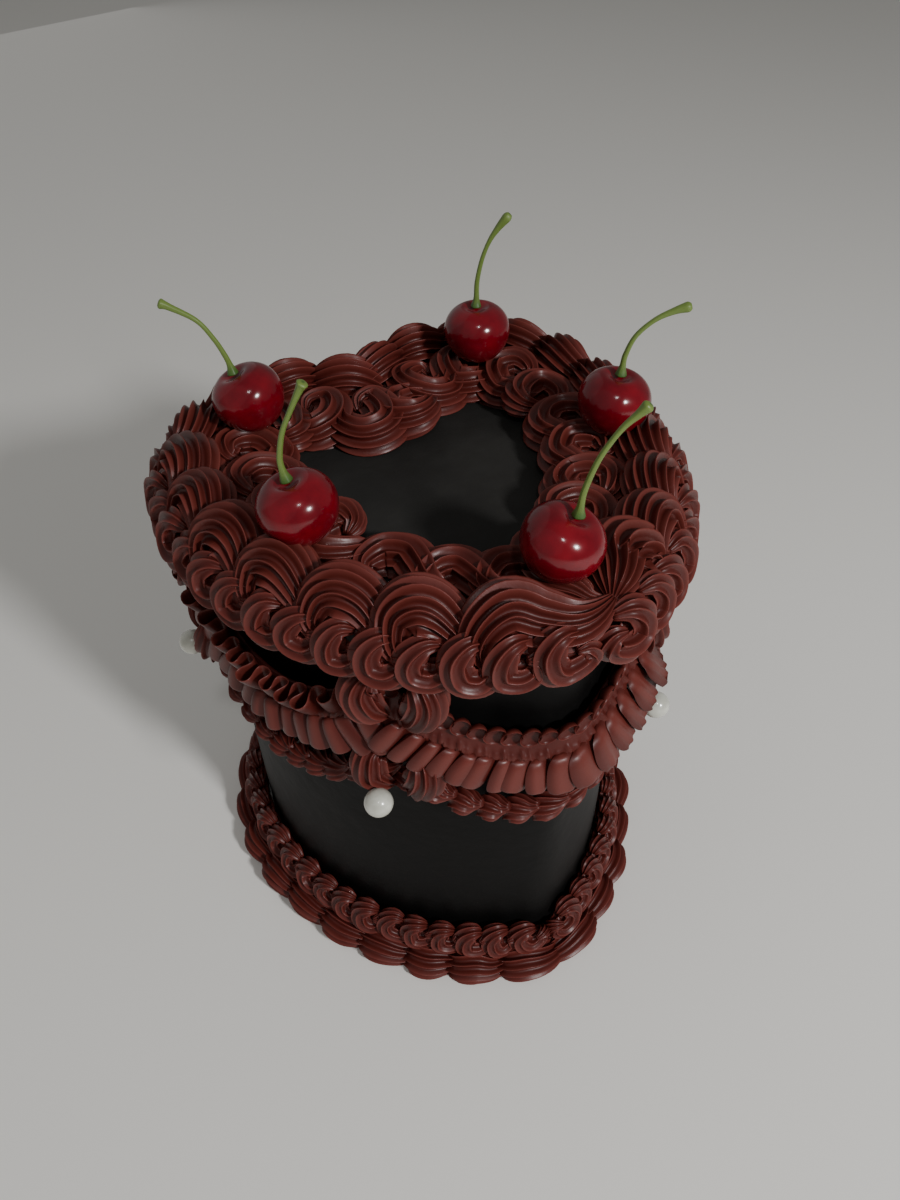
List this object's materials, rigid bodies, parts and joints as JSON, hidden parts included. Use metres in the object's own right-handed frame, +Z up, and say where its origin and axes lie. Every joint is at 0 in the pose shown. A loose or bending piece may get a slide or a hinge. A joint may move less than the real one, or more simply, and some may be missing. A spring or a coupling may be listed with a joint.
{
  "type": "cherry cake",
  "caption": "Tall heart-shaped cake in smooth dark icing with ridged piped shell borders, ruffled swags, hanging pearls and glossy stemmed cherries on top",
  "frame": {"origin": "On the base plane, on the heart's line of symmetry, about midway between its notch and its tip", "axes": "+Z is up, the heart's tip points to -Y and its notch to +Y, X runs across the two lobes"},
  "size_m": [0.1959, 0.1902, 0.2637],
  "materials": {
    "dark_icing": null,
    "red_buttercream": "satin dark red-brown buttercream with fine piped ridges",
    "cherry_red": "glossy deep red cherry skin",
    "stem_green": "satin green cherry stalk",
    "pearl_white": "pearly off-white sugar bead"
  },
  "bodies": {
    "root": {"cake_body": "dark_icing", "top_shell_border": "red_buttercream", "inner_swirl_border": "red_buttercream", "edge_shell_ring": "red_buttercream", "foot_shell_ring": "red_buttercream", "collar_shell_ring": "red_buttercream", "swag_garland": "red_buttercream", "cherry_left_front": "cherry_red", "cherry_tip": "cherry_red", "cherry_left_back": "cherry_red", "cherry_right_back": "cherry_red", "cherry_right_front": "cherry_red", "stem_left_front": "stem_green", "stem_tip": "stem_green", "stem_left_back": "stem_green", "stem_right_back": "stem_green", "stem_right_front": "stem_green", "pearl_1": "pearl_white", "pearl_2": "pearl_white", "pearl_3": "pearl_white", "pearl_4": "pearl_white", "pearl_5": "pearl_white"}
  },
  "joints": []
}
